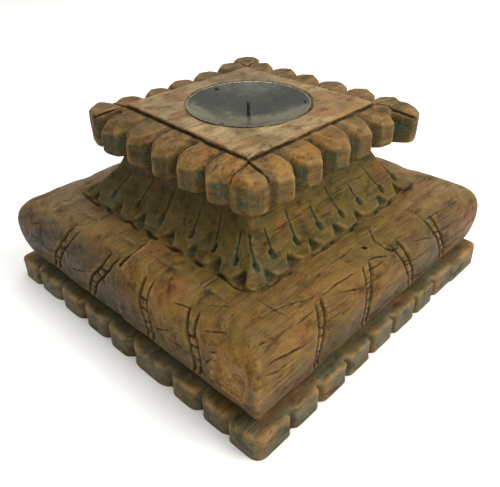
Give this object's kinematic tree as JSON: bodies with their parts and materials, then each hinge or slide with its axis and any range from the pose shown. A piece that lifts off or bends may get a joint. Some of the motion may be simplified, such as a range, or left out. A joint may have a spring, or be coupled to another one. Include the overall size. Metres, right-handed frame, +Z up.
{
  "type": "pricket candle stand",
  "caption": "Carved square timber column base used as a candle stand, with an iron dish and spike let into its top.",
  "frame": {"origin": "centre of the underside of the block", "axes": "+Z up, sides parallel to X and Y, wood grain and glue seam along Y"},
  "size_m": [0.259, 0.259, 0.136],
  "materials": {
    "left_timber": "weathered, worn and waxed",
    "right_timber": "weathered, worn and waxed",
    "dowel_wood": "turned, unfinished",
    "dish_iron": "tarnished sheet iron",
    "spike_iron": "blackened",
    "nail_iron": "rusty black"
  },
  "bodies": {
    "root": {"left_half_block": "left_timber", "right_half_block": "right_timber", "front_seam_dowel": "dowel_wood", "back_seam_dowel": "dowel_wood", "dish": "dish_iron", "spike": "spike_iron", "dish_nail_1": "nail_iron", "dish_nail_2": "nail_iron", "dish_nail_3": "nail_iron"}
  },
  "joints": []
}
